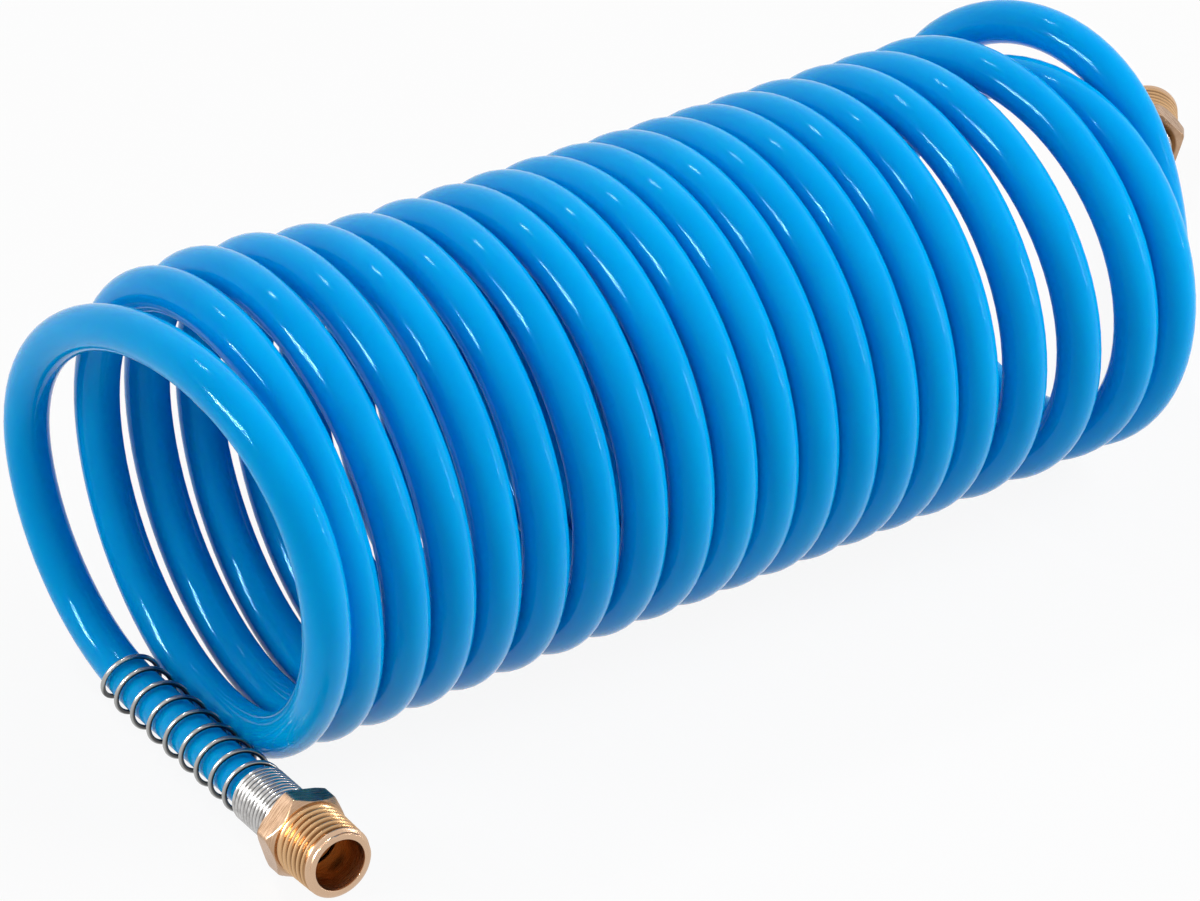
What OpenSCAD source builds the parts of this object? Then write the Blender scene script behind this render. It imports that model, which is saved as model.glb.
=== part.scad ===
/* Coiled air hose: a self-coiling tube with a spring guard and a swivelling male thread at each end.
   The coil lies on the floor along X. The front tail leaves it towards -Y, and the rear tail on the other
   side, towards +Y and a little on along X.
   Origin: middle of the whole object's box, at floor level. */

/* [Hose] */
// Outer diameter of the tube
hose_od = 8; // [6:0.5:10]
// Bore of the tube
hose_id = 5; // [4:0.5:6]

/* [Coil] */
// Radius of the coil, to the middle of the tube
coil_radius = 37.7; // [32:0.1:42]
// Number of turns
turns = 21; // [16:1:23]
// Step from one turn to the next where the coil is tightest
turn_step = 8.6; // [8.6:0.1:10]
// Extra length that the front half of the coil is opened by
front_opening = 8; // [0:0.1:12]
// Number of turns over which it opens
front_turns = 9.6; // [6:0.1:12]
// How much wider the turns near the front are, in radius
front_bulge = 1.7; // [0:0.1:3]
// How far the first half turn is drawn out along the floor
first_turn_drawn = 9; // [4:0.5:12]
// How far the top of the first turn leans out over the front tail
first_turn_forward = 12; // [0:0.5:12]
// How far the last turns lie to the rear tail's side
last_turn_aside = 0.9; // [0:0.1:3]
// How far the last half turn is drawn in towards that side
last_turn_drawn = 16; // [12:0.5:18]
// How much wider the last turns are, in radius
last_turns_wider = 1; // [0:0.1:1.2]
// How much the top of the last turn but one sinks in, in radius
sunken_top = 7; // [6:0.5:8]
// Depth of the flat that the turns stand on
foot_depth = 0.8; // [0.4:0.1:0.8]

/* [Ends] */
// Distance from the coil's axis to the front end's nose
front_reach = 56.5; // [56:0.5:70]
// Length of the rear tail, from the end of the coil to the nose
rear_length = 75; // [75:1:90]
// How far the rear tail is turned from square, on along the coil
rear_heading = 40; // [20:1:42]
// Hexagon across flats
hex_flats = 14; // [13:1:17]
// How far a corner of the resting hexagon is from straight down
hex_turn = 14.5; // [0:0.5:30]
// Length of the hexagon
hex_length = 4.5; // [4:0.5:7]
// Radius of the plain cylinder that stands for the male thread
thread_radius = 6.58; // [6:0.01:7]
// Length of the threaded part
thread_length = 8; // [7:0.5:10]
// Length of the rounded nose
nose_length = 1.5; // [1:0.5:2]
// Radius of the mouth of the threaded body
mouth_radius = 4.5; // [4.5:0.1:4.8]

/* [Spring guard] */
// Wire diameter
wire_d = 0.9; // [0.7:0.05:1]
// Mean radius of the curls
guard_radius = 4.92; // [4.92:0.01:5.2]
// Number of curls close to the hexagon
close_curls = 8; // [5:1:8]
// Step of the close curls
close_step = 1.4; // [1.4:0.05:1.5]
// Number of open curls
open_curls = 8; // [5:1:8]
// Step of the open curls
open_step = 4.6; // [4:0.1:4.6]
// Step of the last curl
last_step = 3; // [2:0.5:4]

/* [Hidden] */
$fn = 64;

hose_blue = [0, 0.55, 0.85];
brass = [0.85, 0.66, 0.42];
steel = [0.75, 0.76, 0.78];
rubber = [0.12, 0.12, 0.12];

hose_r = hose_od / 2;
foot_z = hose_r - foot_depth;            // height of the tube's middle where a turn stands on the floor
wire_r = wire_d / 2;
loop_rings = 22;
tube_sides = 6;
flat_side_rise = 1.08;                   // the flat sides stand out by this much, nearer to a round tube
curl_rings = 8;

// Turns that stand apart from the next, or nearer: [turn where it starts, extra step, turns it takes]
loose_turns = [[0.1, 1.2, 1.3], [15.4, 0.8, 1], [15.8, 1.8, 1.2], [17.3, 3.5, 1.2], [20, -1.2, 1]];

// How far the turns swing round the vertical and lean along the axis, in mm at the coil's radius
front_swing = -1.5;
middle_swing = 1.5;
rear_swing = -4.3;
last_swing = -1;
front_lean = -1.9;

// Smooth step from 0 to 1, and a smooth hump from 0 to 1 and back
function clamp01(u) = min(max(u, 0), 1);
function ease(u) = clamp01(u) * clamp01(u) * (3 - 2 * clamp01(u));
function hump(u) = abs(u) < 1 ? (1 + cos(180 * u)) / 2 : 0;
function total(list, i = 0) = i < len(list) ? list[i] + total(list, i + 1) : 0;

// Over its last run_out turns the coil runs out along X, so that it ends in line with the rear tail
run_out = 0.35;
end_slope = tan(rear_heading) * 2 * PI * (coil_radius + last_turns_wider) - turn_step;

// The coil's middle line: t counts turns from the foot where the front tail joins
function turn_angle(t) = -90 + 360 * t;
function turn_radius(t) = coil_radius + front_bulge * hump((t - 2.4) / 3.5)
    + last_turns_wider * ease(t - turns + 2) - sunken_top * hump((t - turns + 1.76) / 0.45);
function turn_place(t) = turn_step * t + front_opening * ease(t / front_turns)
    + total([for (g = loose_turns) g[1] * ease((t - g[0]) / g[2])])
    + end_slope * pow(max(t - turns + run_out, 0), 2) / (2 * run_out);
function turn_swing(t) = front_swing * (1 - ease((t - 0.35) / 5.3))
    + middle_swing * (1 - ease((t - 5) / 5)) * ease(t / 2)
    + rear_swing * ease((t - turns + 4.3) / 2) * (1 - ease((t - turns + 0.6) / 0.6))
    + last_swing * ease((t - turns + 1.2) / 0.6) * (1 - ease((t - turns + 0.3) / 0.3));
function turn_lean(t) = front_lean * (1 - ease((t - 1) / 5));
function turn_aside(t) = first_turn_drawn * (1 - ease(t / 0.67)) - first_turn_forward * hump((t - 0.56) / 0.34)
    + last_turn_aside * ease((t - turns + 2.5) / 1.5) + last_turn_drawn * ease((t - turns + 0.6) / 0.5);
// The guards are thicker than the hose, so the first and last feet are held up by them
function turn_lift(t) = end_lift * (1 - ease(t / 0.4) + ease((t - turns + 0.4) / 0.4));

guard_foot = guard_radius + wire_r + 0.12;   // height of the hose's middle where a guard lies on the floor
end_lift = guard_foot - foot_z;

function coil_point(t) = let (a = turn_angle(t), r = turn_radius(t)) [
    turn_place(t) + turn_swing(t) * cos(a) + turn_lean(t) * sin(a),
    turn_aside(t) + r * cos(a),
    foot_z + r + r * sin(a) + turn_lift(t)];

// Each tail rises in one straight line from the coil's end to the back of the hexagon, and the coil's node
// holds the first tube diameter of it
coil_start = coil_point(0);
coil_end = coil_point(turns);
body_length = hex_length + thread_length + nose_length;
hex_corner_r = hex_flats / 2 / cos(30);
hex_rest_z = hex_corner_r * cos(hex_turn);   // it rests on its lowest corner
front_run = coil_start[1] + front_reach - body_length;
rear_run = rear_length - body_length;
front_tilt = asin((hex_rest_z - guard_foot) / front_run);
rear_tilt = asin((hex_rest_z - guard_foot) / rear_run);
front_join = coil_start + hose_od * [0, -cos(front_tilt), sin(front_tilt)];
rear_way = [sin(rear_heading), cos(rear_heading), 0];
rear_join = coil_end + hose_od * (cos(rear_tilt) * rear_way + sin(rear_tilt) * [0, 0, 1]);

// Rings lie either side of each foot, so that the piece between them is flat on the floor
loop_turns = [0, for (i = [0 : turns * loop_rings - 1]) (i + 0.5) / loop_rings, turns];
coil_line = [front_join, for (t = loop_turns) coil_point(t), rear_join];

// The object's box is centred on the origin along X and Y: it runs from the front hexagon's side to the rear
// thread's along X, and from nose to nose along Y
nose_r = thread_radius - 1.3;
rear_nose = coil_end + rear_length * rear_way;
low_x = coil_start[0] - hex_corner_r * cos(30 - hex_turn);
high_x = rear_nose[0] + thread_radius * rear_way[1] - nose_length * rear_way[0];
high_y = rear_nose[1] + nose_r * rear_way[0];
centre = [(low_x + high_x) / 2, (high_y - front_reach) / 2, 0];

// A tube of flat sides through the points, with the ring's first direction at each given by outs
function unit(v) = v / norm(v);
function ring(p, along, out, r, sides) = let (
    side = unit(cross(along, out)), up = flat_side_rise * unit(cross(side, along)))
    [for (k = [0 : sides - 1]) let (a = (k + 0.5) * 360 / sides) p + r * (cos(a) * up + sin(a) * side)];
function tangent(line, i) = unit(line[min(i + 1, len(line) - 1)] - line[max(i - 1, 0)]);

module tube(line, outs, r, sides, floor_z = -1000) {
    rings = [for (i = [0 : len(line) - 1]) ring(line[i], tangent(line, i), outs[i], r, sides)];
    points = [for (one = rings) for (p = one) [p[0], p[1], max(p[2], floor_z)]];
    last = (len(line) - 1) * sides;
    walls = [for (i = [0 : len(line) - 2]) for (k = [0 : sides - 1]) let (
        a = i * sides + k, b = i * sides + (k + 1) % sides)
        each [[a, b, a + sides], [b, b + sides, a + sides]]];
    caps = [for (k = [1 : sides - 2]) each [[0, k + 1, k], [last, last + k, last + k + 1]]];
    polyhedron(points = points, faces = concat(walls, caps));
}

// Least gap between the tube and itself, from each point to those about one turn on
function least_gap(line, per_turn, d) = min([for (i = [0 : len(line) - 1])
    for (j = [i + per_turn - 4 : min(i + per_turn + 4, len(line) - 1)])
        if (j > i && j < len(line)) norm(line[i] - line[j]) - d]);

// Place of an end: its own Z runs from the hexagon's back to the nose, along the tail's line
front_tail = front_run - hose_od;
rear_tail = rear_run - hose_od;

module at_front() {
    translate(front_join - centre) rotate([90 - front_tilt, 0, 0])
        translate([0, 0, front_tail]) children();
}
module at_rear() {
    translate(rear_join - centre) rotate([0, 0, 180 - rear_heading]) rotate([90 - rear_tilt, 0, 0])
        translate([0, 0, rear_tail]) children();
}

// Sizes inside an end
step_z = 2;             // ledge in the threaded body that the stem's head bears on
shank_r = 3.35;         // stem where the threaded body turns on it
shank_gap = 0.05;       // running clearance round the shank
head_r = 4.2;
head_length = 3;
groove_z = 0.9;         // start of the O-ring's groove, from the head's back
ring_r = 0.45;          // half the O-ring's thickness
ring_middle_r = 4;
back_gap = 0.3;         // room between the hexagon and what doesn't turn
flange_length = 0.7;
barb_core_r = 2.2;
barb_r = 2.45;
barb_length = 12.5;
barbs = 4;
stem_bore_r = 1.6;
sleeve_r = 4.1;          // it is pressed in until the guard's curls clear it
squeezed_r = 3.75;      // the hose under the sleeve
sleeve_length = 12;
hex_chamfer = 0.9;

module threaded_body() {
    nose_z = hex_length + thread_length;
    color(brass) difference() {
        union() {
            intersection() {
                rotate([0, 0, hex_turn - 90]) cylinder(r = hex_corner_r, h = hex_length, $fn = 6);
                rotate_extrude() polygon([[0, 0], [hex_corner_r - hex_chamfer / 2, 0],
                    [hex_corner_r + 0.1, hex_chamfer / 2], [hex_corner_r + 0.1, hex_length - hex_chamfer / 1.5],
                    [hex_corner_r - hex_chamfer, hex_length], [0, hex_length]]);
            }
            translate([0, 0, hex_length - 0.5]) cylinder(r = thread_radius, h = thread_length + 0.5);
            translate([0, 0, nose_z]) cylinder(r1 = thread_radius, r2 = thread_radius - 0.45, h = nose_length / 2);
            translate([0, 0, nose_z + nose_length / 2])
                cylinder(r1 = thread_radius - 0.45, r2 = nose_r, h = nose_length / 2);
        }
        translate([0, 0, -1]) cylinder(r = shank_r + shank_gap, h = body_length);
        translate([0, 0, step_z]) cylinder(r = mouth_radius, h = body_length);
    }
}

module swivel_stem() {
    groove_r = ring_middle_r - ring_r;
    barb_step = (barb_length - 1) / barbs;
    color(brass) difference() {
        union() {
            translate([0, 0, step_z]) difference() {
                cylinder(r = head_r, h = head_length);
                translate([0, 0, groove_z]) difference() {
                    cylinder(r = head_r + 1, h = 2 * ring_r + 0.2);
                    translate([0, 0, -1]) cylinder(r = groove_r - 0.02, h = 4);
                }
            }
            translate([0, 0, -back_gap]) cylinder(r = shank_r, h = step_z + back_gap);
            translate([0, 0, -back_gap - barb_length]) cylinder(r = barb_core_r, h = barb_length + 0.5);
            for (i = [0 : barbs - 1])
                translate([0, 0, -back_gap - barb_length + i * barb_step])
                    cylinder(r1 = barb_core_r, r2 = barb_r, h = barb_step * 0.8);
        }
        translate([0, 0, -back_gap - barb_length - 1]) cylinder(r = stem_bore_r, h = barb_length + 20);
    }
}

module o_ring() {
    color(rubber) translate([0, 0, step_z + groove_z + ring_r + 0.1])
        rotate_extrude() translate([ring_middle_r, 0]) circle(r = ring_r, $fn = 24);
}

module crimp_sleeve() {
    color(steel) translate([0, 0, -back_gap - sleeve_length]) difference() {
        cylinder(r = sleeve_r, h = sleeve_length);
        translate([0, 0, -1]) cylinder(r = squeezed_r, h = sleeve_length - flange_length + 1);
        cylinder(r = barb_core_r, h = sleeve_length + 1);
    }
}

// The tail runs from the coil's straight end to the sleeve's flange, with its true bore
module hose_tail(length) {
    tail = length - back_gap - flange_length;
    loose = length - back_gap - sleeve_length - 0.3;
    color(hose_blue) translate([0, 0, -length]) difference() {
        union() {
            cylinder(r = hose_r, h = loose);
            cylinder(r = squeezed_r, h = tail);
        }
        translate([0, 0, -1]) cylinder(r = hose_id / 2, h = tail + 2);
    }
}

// One wire: close curls behind the hexagon, then open ones, with the last drawn in again
function guard_place(c) = c < close_curls ? close_step * c
    : close_step * close_curls + open_step * min(c - close_curls, open_curls)
      + last_step * max(c - close_curls - open_curls, 0);
guard_curls = close_curls + open_curls + 1;
guard_line = [for (i = [0 : guard_curls * curl_rings]) let (c = i / curl_rings)
    [guard_radius * cos(360 * c), guard_radius * sin(360 * c), -back_gap - wire_r - guard_place(c)]];
guard_outs = [for (p = guard_line) [p[0], p[1], 0]];

module spring_guard() {
    color(steel) tube(guard_line, guard_outs, wire_r, tube_sides);
}

coil_outs = [[0, 0, -1], for (t = loop_turns) [0, cos(turn_angle(t)), sin(turn_angle(t))], [0, 0, -1]];

module hose_coil() {
    color(hose_blue) translate(-centre) tube(coil_line, coil_outs, hose_r, tube_sides, 0);
}

module hose_tail_front() { at_front() hose_tail(front_tail); }
module threaded_body_front() { at_front() threaded_body(); }
module swivel_stem_front() { at_front() swivel_stem(); }
module o_ring_front() { at_front() o_ring(); }
module crimp_sleeve_front() { at_front() crimp_sleeve(); }
module spring_guard_front() { at_front() spring_guard(); }

module hose_tail_rear() { at_rear() hose_tail(rear_tail); }
module threaded_body_rear() { at_rear() threaded_body(); }
module swivel_stem_rear() { at_rear() swivel_stem(); }
module o_ring_rear() { at_rear() o_ring(); }
module crimp_sleeve_rear() { at_rear() crimp_sleeve(); }
module spring_guard_rear() { at_rear() spring_guard(); }

echo(coil_gap_to_itself = least_gap(coil_line, loop_rings, hose_od));
echo(guard_gap_to_itself = least_gap(guard_line, curl_rings, wire_d));
echo(tube_length = total([for (i = [1 : len(coil_line) - 1]) norm(coil_line[i] - coil_line[i - 1])])
     + front_tail + rear_tail);

hose_coil();
hose_tail_front();
hose_tail_rear();
threaded_body_front();
swivel_stem_front();
o_ring_front();
crimp_sleeve_front();
spring_guard_front();
threaded_body_rear();
swivel_stem_rear();
o_ring_rear();
crimp_sleeve_rear();
spring_guard_rear();
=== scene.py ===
"""Coiled air hose: a blue recoil tube with a wire guard and a brass swivel fitting at each end.
Sizes are in millimetres until a piece is finished, and metres after that."""
import bisect
import itertools
import math

import bmesh
import bpy
from mathutils import Matrix, Quaternion, Vector
from mathutils.kdtree import KDTree


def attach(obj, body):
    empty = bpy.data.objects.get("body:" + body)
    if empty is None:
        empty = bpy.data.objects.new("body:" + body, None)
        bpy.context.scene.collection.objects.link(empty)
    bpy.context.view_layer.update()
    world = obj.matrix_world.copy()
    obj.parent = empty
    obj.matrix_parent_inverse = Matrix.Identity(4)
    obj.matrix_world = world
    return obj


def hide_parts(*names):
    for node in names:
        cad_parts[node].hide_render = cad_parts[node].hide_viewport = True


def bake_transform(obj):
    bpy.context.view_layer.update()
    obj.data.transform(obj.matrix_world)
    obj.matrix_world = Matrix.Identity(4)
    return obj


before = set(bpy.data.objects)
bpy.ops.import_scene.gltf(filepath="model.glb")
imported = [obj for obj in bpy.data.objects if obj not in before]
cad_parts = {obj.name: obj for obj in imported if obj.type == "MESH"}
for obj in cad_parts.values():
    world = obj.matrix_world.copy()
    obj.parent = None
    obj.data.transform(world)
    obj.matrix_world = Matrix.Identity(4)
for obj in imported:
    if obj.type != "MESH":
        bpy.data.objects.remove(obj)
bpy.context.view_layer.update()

MM = Matrix.Scale(0.001, 4)

# ---------------------------------------------------------------- the hose's route, as in the CAD source

HOSE_R = 4.0
WIRE_R, GUARD_R = 0.45, 4.92
GUARD_FOOT = GUARD_R + WIRE_R + 0.12                 # the hose's height where a guard lies on the floor
HEX_FLATS, HEX_LENGTH = 14.0, 4.5
HEX_TURN = 14.5                                      # degrees from its lowest corner to straight down
HEX_CORNER_R = HEX_FLATS / 2 / math.cos(math.radians(30))
HEX_REST_Z = HEX_CORNER_R * math.cos(math.radians(HEX_TURN))
BODY_LENGTH, NOSE_LENGTH = 14.0, 1.5
THREAD_R = 6.58
NOSE_R = THREAD_R - 1.3
FRONT_REACH = 56.5                                   # from the coil's axis to the front nose
REAR_LENGTH = 75.0                                   # from the end of the coil to the rear nose
REAR_HEADING = math.radians(40)                      # the rear tail leaves the coil turned this far aside

TURNS, TURN_STEP, COIL_R = 21, 8.6, 37.7
FRONT_OPENING, FRONT_TURNS, FRONT_BULGE = 8, 9.6, 1.7
FIRST_TURN_DRAWN, FIRST_TURN_FORWARD = 9, 12
LAST_TURN_ASIDE, LAST_TURN_DRAWN, LAST_TURNS_WIDER, SUNKEN_TOP = 0.9, 16, 1.0, 7
FRONT_SWING, MIDDLE_SWING, REAR_SWING, LAST_SWING, FRONT_LEAN = -1.5, 1.5, -4.3, -1.0, -1.9
# Turns that stand apart from the next, or nearer: turn where it starts, extra step, turns that it takes
LOOSE_TURNS = [(0.1, 1.2, 1.3), (15.4, 0.8, 1.0), (15.8, 1.8, 1.2), (17.3, 3.5, 1.2), (20, -1.2, 1.0)]
RUN_OUT = 0.35                                       # turns over which it bends in line with the rear tail
END_SLOPE = math.tan(REAR_HEADING) * 2 * math.pi * (COIL_R + LAST_TURNS_WIDER) - TURN_STEP


def ease(u):
    """A smooth step from 0 to 1."""
    u = min(max(u, 0.0), 1.0)
    return u * u * (3 - 2 * u)


def hump(u):
    """A smooth rise from 0 at -1 to 1 at 0, and back."""
    return (1 + math.cos(math.pi * u)) / 2 if abs(u) < 1 else 0.0


def coil_point(t):
    """The middle of the tube, t turns on from the foot where the front tail joins.
    Inside ease and hump stand the turn where a change starts or peaks, and the turns that it takes."""
    a = math.radians(-90 + 360 * t)
    left = TURNS - t
    radius = (COIL_R + FRONT_BULGE * hump((t - 2.4) / 3.5) + LAST_TURNS_WIDER * ease(2 - left)
              - SUNKEN_TOP * hump((1.76 - left) / 0.45))
    place = (TURN_STEP * t + FRONT_OPENING * ease(t / FRONT_TURNS)
             + sum(extra * ease((t - start) / width) for start, extra, width in LOOSE_TURNS)
             + END_SLOPE * max(RUN_OUT - left, 0) ** 2 / (2 * RUN_OUT))
    swing = (FRONT_SWING * (1 - ease((t - 0.35) / 5.3)) + MIDDLE_SWING * (1 - ease((t - 5) / 5)) * ease(t / 2)
             + REAR_SWING * ease((4.3 - left) / 2) * (1 - ease((0.6 - left) / 0.6))
             + LAST_SWING * ease((1.2 - left) / 0.6) * (1 - ease((0.3 - left) / 0.3)))
    lean = FRONT_LEAN * (1 - ease((t - 1) / 5))
    aside = (FIRST_TURN_DRAWN * (1 - ease(t / 0.67)) - FIRST_TURN_FORWARD * hump((t - 0.56) / 0.34)
             + LAST_TURN_ASIDE * ease((2.5 - left) / 1.5) + LAST_TURN_DRAWN * ease((0.6 - left) / 0.5))
    lift = (GUARD_FOOT - HOSE_R) * (1 - ease(t / 0.4) + ease((0.4 - left) / 0.4))
    return Vector((place + swing * math.cos(a) + lean * math.sin(a), aside + radius * math.cos(a),
                   HOSE_R + radius + radius * math.sin(a) + lift))


coil_start, coil_end = coil_point(0), coil_point(TURNS)
rear_way = Vector((math.sin(REAR_HEADING), math.cos(REAR_HEADING), 0))
rear_nose = coil_end + REAR_LENGTH * rear_way
low_x = coil_start.x - HEX_CORNER_R * math.cos(math.radians(30 - HEX_TURN))
high_x = rear_nose.x + THREAD_R * rear_way.y - NOSE_LENGTH * rear_way.x
high_y = rear_nose.y + NOSE_R * rear_way.x
CENTRE = Vector(((low_x + high_x) / 2, (high_y - FRONT_REACH) / 2, 0))
front_run = coil_start.y + FRONT_REACH - BODY_LENGTH
rear_run = REAR_LENGTH - BODY_LENGTH
FRONT_TILT = math.asin((HEX_REST_Z - GUARD_FOOT) / front_run)
REAR_TILT = math.asin((HEX_REST_Z - GUARD_FOOT) / rear_run)

# From an end's own frame, its Z from the hexagon's back to the nose, to the object's frame in metres
FRONT_END = (MM @ Matrix.Translation(coil_start - CENTRE) @ Matrix.Rotation(math.pi / 2 - FRONT_TILT, 4, "X")
             @ Matrix.Translation((0, 0, front_run)))
REAR_END = (MM @ Matrix.Translation(coil_end - CENTRE) @ Matrix.Rotation(math.pi - REAR_HEADING, 4, "Z")
            @ Matrix.Rotation(math.pi / 2 - REAR_TILT, 4, "X") @ Matrix.Translation((0, 0, rear_run)))

# ---------------------------------------------------------------- camera

CAMERA_AZIMUTH, CAMERA_ELEVATION = math.radians(-33.94), math.radians(31.81)
CAMERA_AIM = Vector((94.48, 5.57, 24.0))             # in millimetres, in the route's own frame
CAMERA_DISTANCE = 0.9025
CAMERA_LENS = 151.6812


def add_object(name, data):
    item = bpy.data.objects.new(name, data)
    bpy.context.scene.collection.objects.link(item)
    return item


def add_camera():
    back = Vector((math.sin(CAMERA_AZIMUTH) * math.cos(CAMERA_ELEVATION),
                   -math.cos(CAMERA_AZIMUTH) * math.cos(CAMERA_ELEVATION), math.sin(CAMERA_ELEVATION)))
    data = bpy.data.cameras.new("camera")
    data.sensor_width = 36
    data.lens = CAMERA_LENS
    data.clip_start, data.clip_end = 0.01, 20
    camera = add_object("camera", data)
    camera.location = (CAMERA_AIM - CENTRE) * 0.001 + back * CAMERA_DISTANCE
    camera.rotation_euler = (-back).to_track_quat("-Z", "Y").to_euler()
    bpy.context.scene.camera = camera


add_camera()

# ---------------------------------------------------------------- meshes

def finish_mesh(bm, name, material, place=None, sharp=40):
    """The mesh as an object at the origin, smooth but for edges sharper than so many degrees."""
    if place is not None:
        bm.transform(place)
    bmesh.ops.recalc_face_normals(bm, faces=bm.faces)
    for face in bm.faces:
        face.smooth = True
    mesh = bpy.data.meshes.new(name)
    bm.to_mesh(mesh)
    bm.free()
    mesh.set_sharp_from_angle(angle=math.radians(sharp))
    mesh.materials.append(material)
    return add_object(name, mesh)


def tube_along(name, points, radius, sides, material):
    """A round tube along the points, made by a curve and kept as a mesh."""
    curve = bpy.data.curves.new(name + "_line", "CURVE")
    curve.dimensions = "3D"
    curve.twist_mode = "MINIMUM"
    curve.bevel_depth = radius
    curve.bevel_resolution = (sides - 4) // 2
    curve.use_fill_caps = True
    line = curve.splines.new("POLY")
    line.points.add(len(points) - 1)
    for spot, p in zip(line.points, points):
        spot.co = (*p, 1)
    holder = add_object(name + "_line", curve)
    bpy.context.view_layer.update()
    seen = holder.evaluated_get(bpy.context.evaluated_depsgraph_get())
    mesh = bpy.data.meshes.new_from_object(seen)
    bpy.data.objects.remove(holder)
    bm = bmesh.new()
    bm.from_mesh(mesh)
    bmesh.ops.remove_doubles(bm, verts=bm.verts, dist=1e-7)
    bpy.data.meshes.remove(mesh)
    return finish_mesh(bm, name, material)


# ---------------------------------------------------------------- shader nodes

def new_material(name, **values):
    material = bpy.data.materials.new(name)
    material.use_nodes = True
    tree = material.node_tree
    shader = tree.nodes["Principled BSDF"]
    for socket, value in values.items():
        shader.inputs[socket.replace("_", " ")].default_value = value
    return material, tree, shader


def add_node(tree, kind, inputs, **settings):
    """A new shader node. Each of its inputs is given a value, or is linked to another node's output."""
    node = tree.nodes.new("ShaderNode" + kind)
    for name, value in settings.items():
        setattr(node, name, value)
    for key, value in inputs.items():
        if isinstance(value, bpy.types.NodeSocket):
            tree.links.new(value, node.inputs[key])
        else:
            node.inputs[key].default_value = value
    return node


def object_coords(tree):
    return add_node(tree, "TexCoord", {}).outputs["Object"]


def own_frame(tree, end):
    """Object coordinates turned into an end's own frame in millimetres, Z along the fitting."""
    where, turn, size = end.inverted().decompose()
    mapping = {"Vector": object_coords(tree), "Location": where, "Rotation": turn.to_euler(), "Scale": size}
    return add_node(tree, "Mapping", mapping).outputs["Vector"]


def along_and_out(tree, place):
    """Height along an end's axis and distance from it, in millimetres."""
    height = add_node(tree, "SeparateXYZ", {"Vector": place}).outputs["Z"]
    flat = add_node(tree, "VectorMath", {0: place, 1: (1, 1, 0)}, operation="MULTIPLY").outputs["Vector"]
    return height, add_node(tree, "VectorMath", {0: flat}, operation="LENGTH").outputs["Value"]


def noise(tree, vector, scale, detail=3.0, roughness=0.5, stretch=None):
    if stretch is not None:
        vector = add_node(tree, "Mapping", {"Vector": vector, "Scale": stretch}).outputs["Vector"]
    values = {"Vector": vector, "Scale": scale, "Detail": detail, "Roughness": roughness}
    return add_node(tree, "TexNoise", values).outputs["Fac"]


def ramp(tree, value, *stops):
    """A colour ramp of two stops, each a place from 0 to 1 and a colour."""
    node = add_node(tree, "ValToRGB", {"Fac": value})
    for element, (place, colour) in zip(node.color_ramp.elements, stops):
        element.position = place
        element.color = (*colour, 1)
    return node.outputs["Color"]


def span(tree, value, low, high):
    """The middle of a noise, from 0.3 to 0.7, spread from low to high."""
    values = {"Value": value, "From Min": 0.3, "From Max": 0.7, "To Min": low, "To Max": high}
    return add_node(tree, "MapRange", values).outputs["Result"]


def smooth_step(tree, value, low, high):
    """0 up to low and 1 from high on, or the other way round where low is the larger."""
    values = {"Value": value, "From Min": low, "From Max": high}
    return add_node(tree, "MapRange", values, interpolation_type="SMOOTHSTEP").outputs["Result"]


def maths(tree, operation, first, second, clamp=False):
    node = add_node(tree, "Math", {0: first, 1: second}, operation=operation, use_clamp=clamp)
    return node.outputs["Value"]


def blend_colour(tree, share, low, high):
    """Colour low where share is 0 and colour high where it is 1. Either may be another node's output."""
    low, high = [(*colour, 1) if isinstance(colour, tuple) else colour for colour in (low, high)]
    return add_node(tree, "Mix", {"Factor": share, "A": low, "B": high}, data_type="RGBA").outputs["Result"]


def bump(tree, shader, height, strength, distance):
    node = add_node(tree, "Bump", {"Height": height, "Strength": strength, "Distance": distance})
    tree.links.new(node.outputs["Normal"], shader.inputs["Normal"])


# ---------------------------------------------------------------- finishes

# A finish wanders between a darker and a brighter tone
HOSE_TONES = (0.0, 0.34, 0.76), (0.0, 0.38, 0.81)
HEXAGON_TAN = (0.40, 0.25, 0.15), (0.54, 0.36, 0.24)
STEM_TAN = (0.30, 0.14, 0.05), (0.50, 0.26, 0.10)
WIRE_GREY = (0.40, 0.39, 0.38), (0.58, 0.57, 0.56)
SLEEVE_GREY = (0.3, 0.3, 0.3), (0.45, 0.45, 0.46)
# Single tones: of the thread and nose, the painted shade in the thread's grooves, and of the guard
# wire, the painted shade on its flanks and the painted highlight on its outside
THREAD_GOLD, NOSE_PINK, GROOVE_SHADE = (0.63, 0.39, 0.20), (0.62, 0.42, 0.28), (0.19, 0.09, 0.035)
CLOSED_FLANK_SHADE, OPEN_FLANK_SHADE, OPEN_HIGHLIGHT = (0.11, 0.11, 0.11), (0.07, 0.07, 0.07), (0.40, 0.40, 0.39)

BODY_ROUGH, STEM_ROUGH = (0.2, 0.34), (0.3, 0.45)
WIRE_ROUGH, SLEEVE_ROUGH = 0.2, 0.35
METAL_GRAIN = 0.08, 0.00005                          # strength and depth in metres of the marks in bare metal
NOSE_START = BODY_LENGTH - 2.0                       # height where the thread's end starts to round off
GUARD_OPENS = -14.0, -12.0                           # heights between which its curls come to stand apart


def blue_polyurethane():
    """Blue plastic that light goes a little way into, under a weak bluish gloss."""
    material, tree, shader = new_material(
        "blue_polyurethane", IOR=1.5, Specular_IOR_Level=0.1, Specular_Tint=(0.2, 0.6, 1.0, 1),
        Subsurface_Weight=0.45, Subsurface_Scale=0.005, Subsurface_Radius=(0.1, 0.5, 1.0))
    place = object_coords(tree)
    dark, bright = HOSE_TONES
    cloud = noise(tree, place, 35, 2)
    tree.links.new(ramp(tree, cloud, (0.3, dark), (0.7, bright)), shader.inputs["Base Color"])
    tree.links.new(span(tree, noise(tree, place, 160), 0.05, 0.09), shader.inputs["Roughness"])
    bump(tree, shader, noise(tree, place, 220, 2), 0.05, 0.0004)
    return material


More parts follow.
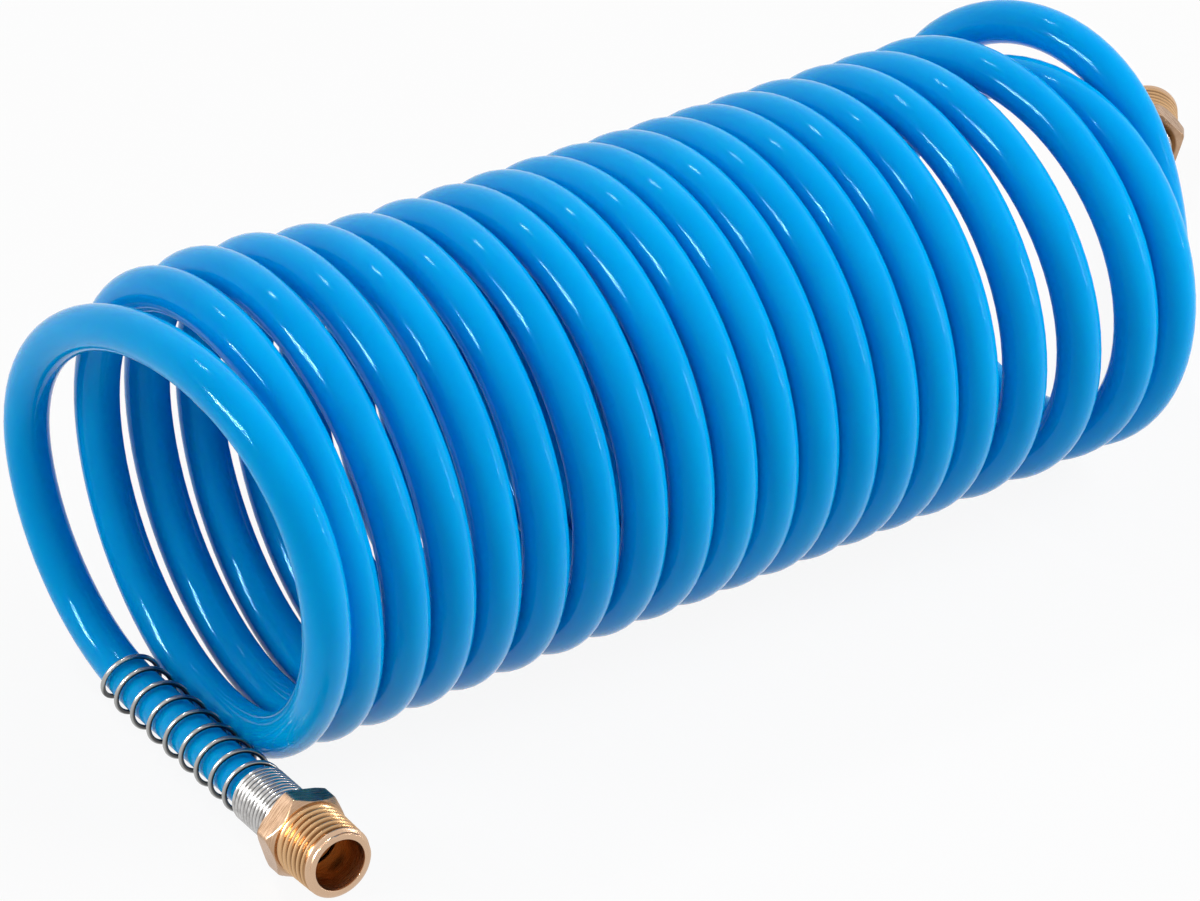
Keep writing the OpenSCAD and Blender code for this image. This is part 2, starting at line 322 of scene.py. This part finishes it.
def thread_tones(tree, place, colour):
    """The thread and nose in tones of their own. The thread's grooves are darkened with painted shade, and
    its crests, the rounded nose and the bore are left without it."""
    height, out = along_and_out(tree, place)
    past_hexagon = smooth_step(tree, height, HEX_LENGTH - 0.1, HEX_LENGTH + 0.3)
    colour = blend_colour(tree, past_hexagon, colour, THREAD_GOLD)
    colour = blend_colour(tree, smooth_step(tree, height, NOSE_START, NOSE_START + 0.8), colour, NOSE_PINK)
    # Painted shade: below the crests the thread's grooves take the darker groove tone, all but the nose and
    # the bore
    crests, bore = smooth_step(tree, out, 5.9, 6.45), smooth_step(tree, out, 5.2, 4.8)
    nose = smooth_step(tree, height, NOSE_START, NOSE_START + 0.6)
    unshaded = maths(tree, "MAXIMUM", maths(tree, "MAXIMUM", crests, bore), nose)
    return blend_colour(tree, unshaded, GROOVE_SHADE, colour)


def turned_brass(name, end, tones, rough, threaded=False):
    """Brass with blotches and with fine rings round the end's axis, where the cutter ran."""
    material, tree, shader = new_material(name, Metallic=1.0)
    dark, bright = tones
    place = own_frame(tree, end)
    rings = noise(tree, place, 1.0, roughness=0.6, stretch=(0.25, 0.25, 9.0))
    blotch = noise(tree, place, 0.35)
    colour = blend_colour(tree, 0.3, ramp(tree, blotch, (0.35, dark), (0.65, bright)),
                          ramp(tree, rings, (0.4, dark), (0.6, bright)))
    if threaded:
        colour = thread_tones(tree, place, colour)
    tree.links.new(colour, shader.inputs["Base Color"])
    tree.links.new(span(tree, rings, *rough), shader.inputs["Roughness"])
    bump(tree, shader, rings, *METAL_GRAIN)
    return material


def spring_steel(name, tones, rough, end=None):
    """Bare steel. A guard's wire has a painted highlight on the outside of its curls and painted shade on
    their flanks, and past the touching curls both are painted darker.
    """
    material, tree, shader = new_material(name, Metallic=1.0)
    dark, bright = tones
    grain = noise(tree, object_coords(tree), 900)
    colour = ramp(tree, grain, (0.3, dark), (0.7, bright))
    if end is not None:
        height, out = along_and_out(tree, own_frame(tree, end))
        # Painted highlight on the outside of the curls and painted shade on their flanks; the open curls are
        # painted darker than the touching ones
        highlight_share = smooth_step(tree, out, 4.9, 5.3)
        closed = blend_colour(tree, highlight_share, CLOSED_FLANK_SHADE, colour)
        opened = blend_colour(tree, highlight_share, OPEN_FLANK_SHADE, OPEN_HIGHLIGHT)
        colour = blend_colour(tree, smooth_step(tree, height, *GUARD_OPENS), opened, closed)
    tree.links.new(colour, shader.inputs["Base Color"])
    tree.links.new(span(tree, grain, rough * 0.8, rough * 1.3), shader.inputs["Roughness"])
    bump(tree, shader, grain, *METAL_GRAIN)
    return material


def seal_rubber():
    material, tree, shader = new_material("seal_rubber", Base_Color=(0.02, 0.02, 0.02, 1))
    grain = noise(tree, object_coords(tree), 1500, 2)
    tree.links.new(span(tree, grain, 0.5, 0.7), shader.inputs["Roughness"])
    bump(tree, shader, grain, 0.1, 0.00005)
    return material


HOSE_BLUE = blue_polyurethane()
FRONT_BRASS = turned_brass("front_turned_brass", FRONT_END, HEXAGON_TAN, BODY_ROUGH, threaded=True)
REAR_BRASS = turned_brass("rear_turned_brass", REAR_END, HEXAGON_TAN, BODY_ROUGH, threaded=True)
FRONT_STEM_BRASS = turned_brass("front_stem_brass", FRONT_END, STEM_TAN, STEM_ROUGH)
REAR_STEM_BRASS = turned_brass("rear_stem_brass", REAR_END, STEM_TAN, STEM_ROUGH)
FRONT_WIRE = spring_steel("front_guard_wire", WIRE_GREY, WIRE_ROUGH, FRONT_END)
REAR_WIRE = spring_steel("rear_guard_wire", WIRE_GREY, WIRE_ROUGH, REAR_END)
SLEEVE_STEEL = spring_steel("sleeve_steel", SLEEVE_GREY, SLEEVE_ROUGH)
SEAL_RUBBER = seal_rubber()

# ---------------------------------------------------------------- hose

RINGS_PER_TURN, TAIL_RINGS, HOSE_SIDES = 72, 24, 28
HOSE_END = 1.0                                       # the hose ends so far behind the hexagon, in the sleeve
EASED_TURNS = 0.7                                    # turns at each end of the coil that stretch less


def tail_line(end, run):
    """The middle of a tail, from the hose's end to the last ring before the coil."""
    return [end @ Vector((0, 0, -HOSE_END - (run - HOSE_END) * k / TAIL_RINGS)) for k in range(TAIL_RINGS)]


def stretch_shares():
    """How far each ring of the coil follows the rear end when the hose is drawn out."""
    turns = [i / RINGS_PER_TURN for i in range(TURNS * RINGS_PER_TURN + 1)]
    speed = [ease(t / EASED_TURNS) * ease((TURNS - t) / EASED_TURNS) for t in turns]
    reached = list(itertools.accumulate(speed))
    return [r / reached[-1] for r in reached]


def follow_rings(piece, path, share):
    """The share of the nearest ring for every vertex, so that every point of a ring would move alike; the
    weights are worked out but not stored, so the tube is not made to move.
    """
    tree = KDTree(len(path))
    for i, p in enumerate(path):
        tree.insert(p, i)
    tree.balance()
    weights = [share[tree.find(v.co)[1]] for v in piece.data.vertices]


def hose():
    coil = [(coil_point(i / RINGS_PER_TURN) - CENTRE) * 0.001 for i in range(TURNS * RINGS_PER_TURN + 1)]
    path = tail_line(FRONT_END, front_run) + coil + tail_line(REAR_END, rear_run)[::-1]
    piece = tube_along("hose", path, HOSE_R * 0.001, HOSE_SIDES, HOSE_BLUE)
    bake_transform(piece)
    follow_rings(piece, path, [0.0] * TAIL_RINGS + stretch_shares() + [1.0] * TAIL_RINGS)
    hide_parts("hose_coil", "hose_tail_front", "hose_tail_rear")
    return piece, path


# ---------------------------------------------------------------- spring guards

CLOSED_CURLS, OPEN_CURLS = 11.5, 9.2
CURL_RINGS, WIRE_SIDES = 40, 12
TOUCHING_STEP, OPENED_BY, SPREAD_BY = 0.96, 3.6, 1.1 # a touching curl's step, and what open ones add
FIRST_CURL = 0.3 + WIRE_R                            # the first curl lies this far behind the hexagon


def guard_line(end, route):
    """The wire's middle: touching curls behind the hexagon, then open ones that follow the hose."""
    line = [end @ Vector((0, 0, 0))] + route
    reach = [0.0] + list(itertools.accumulate((b - a).length for a, b in zip(line, line[1:])))

    def middle(s):
        """The hose's middle, s millimetres from the hexagon's back."""
        s *= 0.001
        i = min(max(bisect.bisect_right(reach, s), 1), len(line) - 1)
        return line[i - 1].lerp(line[i], (s - reach[i - 1]) / (reach[i] - reach[i - 1]))

    across = (end.to_3x3() @ Vector((1, 0, 0))).normalized()
    points, s = [], FIRST_CURL
    for i in range(int((CLOSED_CURLS + OPEN_CURLS) * CURL_RINGS) + 1):
        along = (middle(s + 1.5) - middle(s - 1.5)).normalized()
        first = (across - along * across.dot(along)).normalized()
        second = first.cross(along)
        turn = 2 * math.pi * i / CURL_RINGS
        points.append(middle(s) + (math.cos(turn) * first + math.sin(turn) * second) * (GUARD_R * 0.001))
        opened = i / CURL_RINGS - CLOSED_CURLS
        s += (TOUCHING_STEP + OPENED_BY * ease(opened / 0.6) + SPREAD_BY * ease((opened - 1) / 5)
              - SPREAD_BY * ease((opened - OPEN_CURLS + 1.5) / 0.6)) / CURL_RINGS
    return points


def spring_guard(name, end, route, body, cad_node, wire):
    piece = tube_along(name, guard_line(end, route), WIRE_R * 0.001, WIRE_SIDES, wire)
    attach(piece, body)
    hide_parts(cad_node)
    return piece


# ---------------------------------------------------------------- threaded bodies

COLUMNS = 96                                         # steps of the thread in one turn
PITCH, THREAD_TURNS = 1.337, 9
CREST_R, ROOT_R = 6.62, 5.86
TAPER = 1 / 32                                       # how much the radius falls for each millimetre up
THREAD_FOOT = HEX_LENGTH - 0.6                       # the thread starts a little way inside the hexagon
NOSE_RINGS = 8
NOSE_WIDE, NOSE_NARROW = 6.75, 5.0                   # the nose's radius where it starts and at its rim
MOUTH_R, SHANK_R = 4.6, 3.42
MOUTH_FLOOR = 2.0                                    # height where the mouth narrows to the stem's shank
WASHER_R, WASHER_RISE = 6.4, 0.02                    # the flat round face between hexagon and thread
CORNER_SOFT = 0.35                                   # the hexagon's corners are rounded over this much


def set_radius(vert, radius):
    flat = Vector((vert.co.x, vert.co.y, 0))
    if flat.length > 1e-6:
        flat *= radius / flat.length
        vert.co.x, vert.co.y = flat.x, flat.y


def cut_across(bm, z, side=1, trim=False, dist=0.001):
    """Cut the whole mesh at a height, and where trim is set leave out what lies on that side of it."""
    bmesh.ops.bisect_plane(bm, geom=bm.verts[:] + bm.edges[:] + bm.faces[:], dist=dist, plane_co=(0, 0, z),
                           plane_no=(0, 0, side), clear_outer=trim)


def extrude_loop(bm, edges):
    """The vertices and edges of a new loop drawn on from an open one."""
    made = bmesh.ops.extrude_edge_only(bm, edges=edges)["geom"]
    return ([v for v in made if isinstance(v, bmesh.types.BMVert)],
            [e for e in made if isinstance(e, bmesh.types.BMEdge)])


def nose_limit(z):
    """How far out the thread may reach at each height, for the rounded nose."""
    if z <= NOSE_START:
        return math.inf
    u = min((z - NOSE_START) / (BODY_LENGTH - NOSE_START), 1.0)
    return NOSE_WIDE - (NOSE_WIDE - NOSE_NARROW) * (1 - math.sqrt(max(0.0, 1 - u * u)))


def thread_shell(bm):
    """A right-handed taper thread, spun from one step of its profile, with its rounded nose and the mouth."""
    profile = [(0.0, ROOT_R), (0.09, ROOT_R + 0.03), (0.22, ROOT_R + 0.20), (0.36, ROOT_R + 0.47),
               (0.50, CREST_R - 0.06), (0.60, CREST_R), (0.74, CREST_R), (0.84, CREST_R - 0.06),
               (0.98, ROOT_R + 0.47), (1.12, ROOT_R + 0.20), (1.25, ROOT_R + 0.03), (PITCH, ROOT_R)]
    verts = [bm.verts.new((r, 0, z + THREAD_FOOT - PITCH)) for z, r in profile]
    edges = [bm.edges.new(pair) for pair in zip(verts, verts[1:])]
    bmesh.ops.spin(bm, geom=verts + edges, cent=(0, 0, 0), axis=(0, 0, 1), dvec=(0, 0, PITCH / COLUMNS),
                   angle=2 * math.pi * THREAD_TURNS, steps=COLUMNS * THREAD_TURNS, use_duplicate=False)
    bmesh.ops.remove_doubles(bm, verts=bm.verts, dist=0.004)
    cut_across(bm, THREAD_FOOT, side=-1, trim=True)
    cut_across(bm, BODY_LENGTH, side=1, trim=True)
    for k in range(1, NOSE_RINGS):
        rise = math.sin(k / NOSE_RINGS * math.pi / 2)
        cut_across(bm, NOSE_START + (BODY_LENGTH - NOSE_START) * rise, dist=0.0005)
    for vert in bm.verts:
        r = math.hypot(vert.co.x, vert.co.y)
        r -= (vert.co.z - HEX_LENGTH) * TAPER * (1 if r > ROOT_R + 0.1 else 0.6)
        r = max(r, 6.5 - 0.75 * ease((vert.co.z - HEX_LENGTH) / 1.1))    # the first groove is shallow
        set_radius(vert, min(r, nose_limit(vert.co.z)))
    top = [e for e in bm.edges if e.is_boundary and min(v.co.z for v in e.verts) > BODY_LENGTH - 0.01]
    # Over the nose's flat rim, round the mouth's edge and down its wall
    for radius, z in ((MOUTH_R + 0.35, BODY_LENGTH), (MOUTH_R + 0.12, BODY_LENGTH - 0.12),
                      (MOUTH_R, BODY_LENGTH - 0.4), (MOUTH_R, THREAD_FOOT)):
        made, top = extrude_loop(bm, top)
        for v in made:
            set_radius(v, radius)
            v.co.z = z
    bottom = [e for e in bm.edges if e.is_boundary and max(v.co.z for v in e.verts) < HEX_LENGTH]
    bmesh.ops.bridge_loops(bm, edges=bottom)


def hexagon_radius(angle):
    """Distance from the axis to a hexagon's side, its corners just rounded."""
    a = (angle - math.radians(HEX_TURN - 90)) % (math.pi / 3) - math.pi / 6
    sharp = HEX_FLATS / 2 / math.cos(a)
    over = max(0.0, sharp - (HEX_CORNER_R - CORNER_SOFT))
    return sharp - over * over


def chamfer_limit(z):
    """How far out the hexagon may reach at each height: both of its faces are chamfered."""
    return min(7.35 + 1.5 * z, 6.95 + 0.75 * (HEX_LENGTH - z))


def hexagon_shell(bm):
    """The hexagon, chamfered on both faces, with a washer face behind the thread and the bore through it."""
    # Levels stand close together along the chamfers
    levels = ([0.04 + 0.07 * k for k in range(9)] + [2.2] + [3.0 + 0.1 * k for k in range(14)]
              + [4.42, HEX_LENGTH])
    washer, wall = HEX_LENGTH + WASHER_RISE, MOUTH_R + 0.02
    bore = [(washer, WASHER_R), (washer, wall), (MOUTH_FLOOR, wall), (MOUTH_FLOOR, SHANK_R), (0.0, SHANK_R)]

    def place(verts, z, radius=None):
        for v in verts:
            angle = math.atan2(v.co.y, v.co.x)
            set_radius(v, min(hexagon_radius(angle), chamfer_limit(z)) if radius is None else radius)
            v.co.z = z

    place(bmesh.ops.create_circle(bm, segments=COLUMNS * 2, radius=1.0)["verts"], 0.0)
    start = loop = bm.edges[:]
    for z, radius in [(z, None) for z in levels] + bore:
        made, loop = extrude_loop(bm, loop)
        place(made, z, radius)
    bmesh.ops.bridge_loops(bm, edges=loop + start)


def threaded_body(name, end, body, cad_node, brass):
    hexagon, thread = bmesh.new(), bmesh.new()
    hexagon_shell(hexagon)
    thread_shell(thread)
    carried = bpy.data.meshes.new("thread_part")
    thread.to_mesh(carried)
    hexagon.from_mesh(carried)
    thread.free()
    bpy.data.meshes.remove(carried)
    piece = finish_mesh(hexagon, name, brass, end, sharp=28)
    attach(piece, body)
    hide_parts(cad_node)
    return piece


# ---------------------------------------------------------------- put together

hose_piece, hose_path = hose()
spring_guard("guard_front", FRONT_END, hose_path, "front_end", "spring_guard_front", FRONT_WIRE)
rear_guard = spring_guard("guard_rear", REAR_END, hose_path[::-1], "rear_end", "spring_guard_rear", REAR_WIRE)
threaded_body("thread_front", FRONT_END, "front_fitting", "threaded_body_front", FRONT_BRASS)
rear_body = threaded_body("thread_rear", REAR_END, "rear_fitting", "threaded_body_rear", REAR_BRASS)

for cad_node, material in (("crimp_sleeve_front", SLEEVE_STEEL), ("crimp_sleeve_rear", SLEEVE_STEEL),
                           ("o_ring_front", SEAL_RUBBER), ("o_ring_rear", SEAL_RUBBER),
                           ("swivel_stem_front", FRONT_STEM_BRASS), ("swivel_stem_rear", REAR_STEM_BRASS)):
    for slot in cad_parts[cad_node].material_slots:
        slot.material = material

# ---------------------------------------------------------------- floor, light and background

WORLD_LEVEL = 0.28
LIT_PLACE = Vector((0, 0, 0.04))                     # what every lamp faces


def seen_rays(tree, strength):
    """Strength for what the camera, glossy and clear surfaces see, 0 for the light that bounces."""
    path = add_node(tree, "LightPath", {})
    total = path.outputs["Is Camera Ray"]
    for ray in ("Is Glossy Ray", "Is Transmission Ray"):
        total = maths(tree, "ADD", total, path.outputs[ray], clamp=True)
    return maths(tree, "MULTIPLY", total, strength)


def white_floor():
    bm = bmesh.new()
    bmesh.ops.create_grid(bm, x_segments=1, y_segments=1, size=6)
    mesh = bpy.data.meshes.new("floor")
    bm.to_mesh(mesh)
    bm.free()
    material, tree, shader = new_material("floor_white", Base_Color=(0.65, 0.65, 0.65, 1), Roughness=0.8)
    glow = add_node(tree, "Emission", {})
    mix = add_node(tree, "MixShader", {"Fac": seen_rays(tree, 0.92), 1: shader.outputs["BSDF"],
                                       2: glow.outputs["Emission"]})
    tree.links.new(mix.outputs["Shader"], tree.nodes["Material Output"].inputs["Surface"])
    mesh.materials.append(material)
    add_object("floor", mesh)


def area_light(name, place, size, power, roll=0, diffuse=True, glossy=True):
    data = bpy.data.lights.new(name, "AREA")
    data.shape = "RECTANGLE"
    data.size, data.size_y = size
    data.energy = power
    light = add_object(name, data)
    light.location = place
    facing = (LIT_PLACE - Vector(place)).to_track_quat("-Z", "Y")
    light.rotation_euler = (facing @ Quaternion((0, 0, 1), math.radians(roll))).to_euler()
    light.visible_diffuse, light.visible_glossy = diffuse, glossy


def studio():
    scene = bpy.context.scene
    world = bpy.data.worlds.new("studio")
    scene.world = world
    world.use_nodes = True
    background = world.node_tree.nodes["Background"]
    background.inputs["Color"].default_value = (1, 1, 1, 1)
    level = maths(world.node_tree, "ADD", seen_rays(world.node_tree, 1 - WORLD_LEVEL), WORLD_LEVEL)
    world.node_tree.links.new(level, background.inputs["Strength"])
    # The strip draws the long streaks on the tube, and the fills give each side its level
    area_light("side_strip", place=(-0.99, 0.17, 0.53), size=(0.16, 0.5), power=36, roll=-60, diffuse=False)
    area_light("left_fill", place=(-0.98, 0.05, 0.55), size=(0.6, 0.6), power=3.4, glossy=False)
    area_light("top_lamp", place=(-0.22, 0.50, 0.96), size=(0.12, 0.12), power=2.5)
    area_light("right_strip", place=(0.86, -0.68, 0.22), size=(0.05, 0.4), power=2)
    area_light("right_fill", place=(0.75, -0.55, 0.95), size=(0.8, 0.8), power=13, glossy=False)
    scene.view_settings.view_transform = "Standard"


white_floor()
studio()
